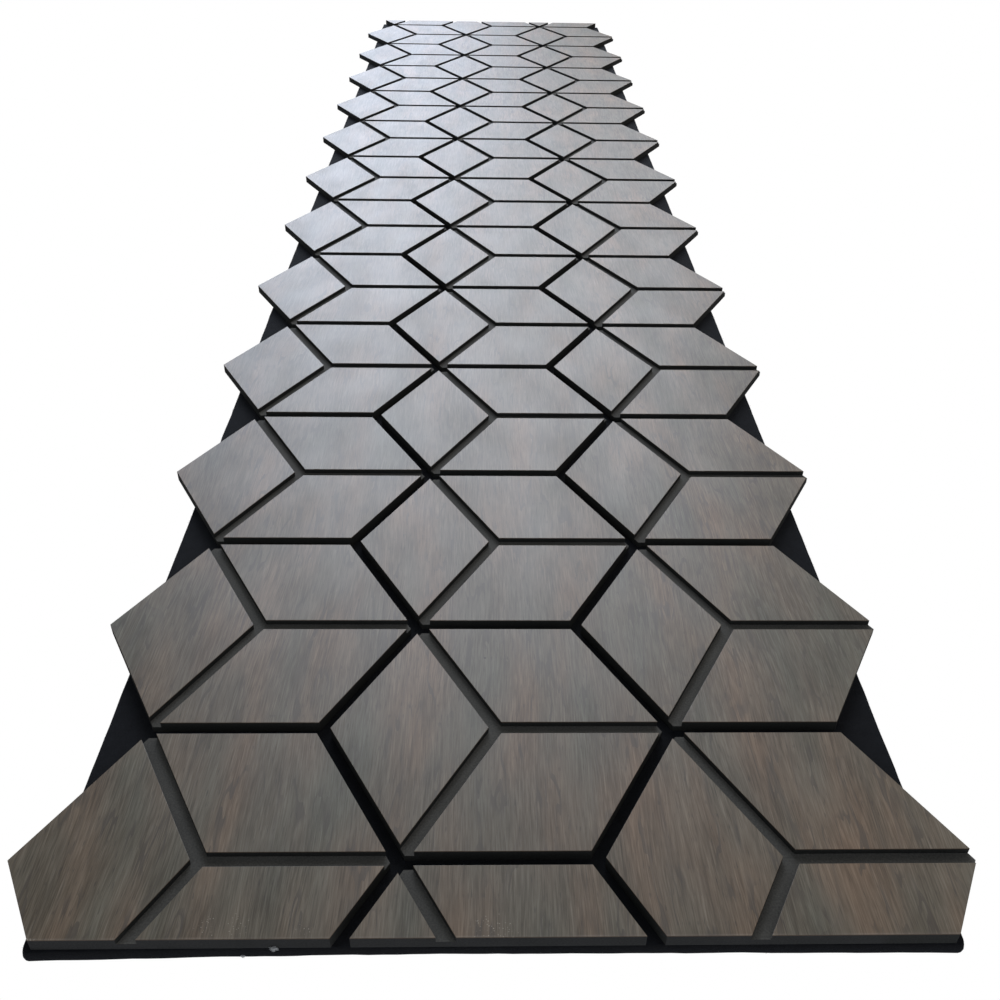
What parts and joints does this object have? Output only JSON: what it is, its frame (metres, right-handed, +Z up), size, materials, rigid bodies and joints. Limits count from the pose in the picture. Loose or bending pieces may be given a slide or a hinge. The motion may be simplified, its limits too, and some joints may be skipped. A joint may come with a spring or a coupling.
{
  "type": "acoustic wall panel",
  "caption": "Tall wall panel of hexagonal wood-veneered boards with Y-shaped grooves, glued a gap apart on black sound-absorbing felt.",
  "frame": {"origin": "middle of the felt's flat back, which lies on the wall", "axes": "+Z up along the panel's length, +Y into the wall so that the face looks along -Y, +X to the right as seen from the front"},
  "size_m": [0.5664, 0.0183, 2.4],
  "materials": {
    "felt": "pressed polyester felt, black, matt, with short loose fibres",
    "veneered_board": "smoked grey-brown oak veneer, satin lacquer, on black-dyed fibreboard"
  },
  "bodies": {
    "root": {"felt_backing": "felt", "tile_left_01": "veneered_board", "tile_left_02": "veneered_board", "tile_left_03": "veneered_board", "tile_left_04": "veneered_board", "tile_left_05": "veneered_board", "tile_left_06": "veneered_board", "tile_left_07": "veneered_board", "tile_left_08": "veneered_board", "tile_left_09": "veneered_board", "tile_left_10": "veneered_board", "tile_left_11": "veneered_board", "tile_left_12": "veneered_board", "tile_left_13": "veneered_board", "tile_middle_01": "veneered_board", "tile_middle_02": "veneered_board", "tile_middle_03": "veneered_board", "tile_middle_04": "veneered_board", "tile_middle_05": "veneered_board", "tile_middle_06": "veneered_board", "tile_middle_07": "veneered_board", "tile_middle_08": "veneered_board", "tile_middle_09": "veneered_board", "tile_middle_10": "veneered_board", "tile_middle_11": "veneered_board", "tile_middle_12": "veneered_board", "tile_middle_13": "veneered_board", "tile_right_01": "veneered_board", "tile_right_02": "veneered_board", "tile_right_03": "veneered_board", "tile_right_04": "veneered_board", "tile_right_05": "veneered_board", "tile_right_06": "veneered_board", "tile_right_07": "veneered_board", "tile_right_08": "veneered_board", "tile_right_09": "veneered_board", "tile_right_10": "veneered_board", "tile_right_11": "veneered_board", "tile_right_12": "veneered_board", "tile_right_13": "veneered_board"}
  },
  "joints": []
}
